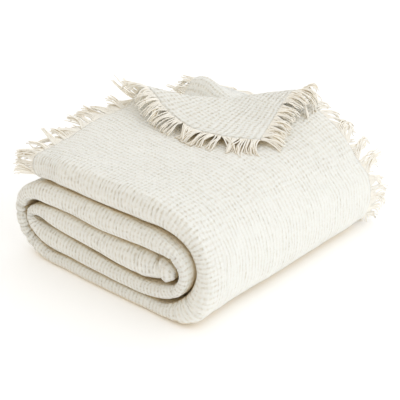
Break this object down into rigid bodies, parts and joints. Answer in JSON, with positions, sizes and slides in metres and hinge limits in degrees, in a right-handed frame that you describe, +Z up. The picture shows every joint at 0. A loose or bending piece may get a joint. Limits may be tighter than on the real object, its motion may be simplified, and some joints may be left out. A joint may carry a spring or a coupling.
{
  "type": "muslin throw blanket",
  "caption": "Fringed muslin throw, folded lengthwise and rolled flat, with one fringed corner turned over on top.",
  "frame": {"origin": "middle of the object's plan, on the surface that it lies on", "axes": "+X across the roll towards its smooth folded front, +Y along the roll's axis towards the fringed side edges, +Z up"},
  "size_m": [0.3202, 0.3588, 0.1792],
  "materials": {
    "muslin": "crinkled off-white cotton muslin",
    "fringe": "loose off-white cotton yarn"
  },
  "bodies": {
    "root": {"throw": "muslin", "fringe_flap_end": "fringe", "fringe_crest_end": "fringe", "fringe_end_1": "fringe", "fringe_end_2": "fringe", "fringe_end_3": "fringe", "fringe_end_4": "fringe", "fringe_corner_4": "fringe", "fringe_flap_side": "fringe", "fringe_side_1": "fringe", "fringe_side_1_inner": "fringe", "fringe_side_4": "fringe"}
  },
  "joints": []
}
